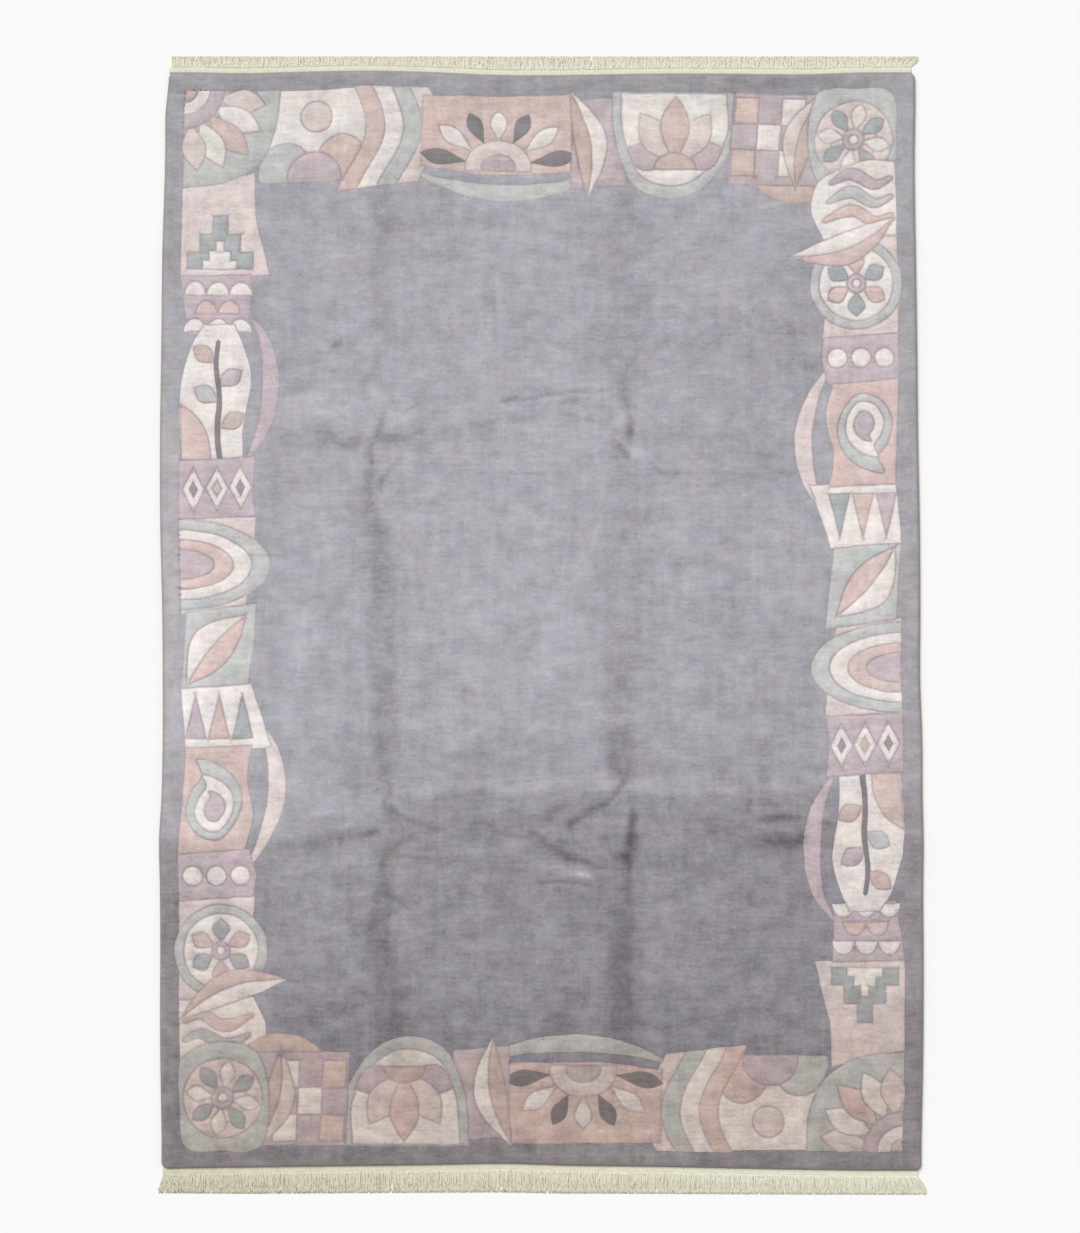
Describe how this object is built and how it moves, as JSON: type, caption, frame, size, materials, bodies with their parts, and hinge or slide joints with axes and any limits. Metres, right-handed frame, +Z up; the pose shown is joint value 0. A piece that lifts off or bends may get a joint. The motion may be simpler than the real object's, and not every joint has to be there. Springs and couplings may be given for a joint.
{
  "type": "hand-knotted wool rug with fringed ends",
  "caption": "Rectangular hand-knotted wool rug with a plain grey field, a carved patchwork border in cream, pink, sage and mauve, and a short cotton fringe at both ends.",
  "frame": {"origin": "on the floor under the middle of the whole outline, fringes included", "axes": "+Y along the rug to the end with the shorter fringe, +X to the right seen from above, +Z up out of the pile"},
  "size_m": [2.04, 3.016, 0.0167],
  "materials": {
    "wool_pile": "soft matt wool pile, mottled cool grey with cream, pink, sage and mauve patches and carved outlines",
    "cotton_warp": "matt unbleached cotton yarn"
  },
  "bodies": {
    "root": {"rug_pile": "wool_pile", "fringe_top": "cotton_warp", "fringe_bottom": "cotton_warp"}
  },
  "joints": []
}
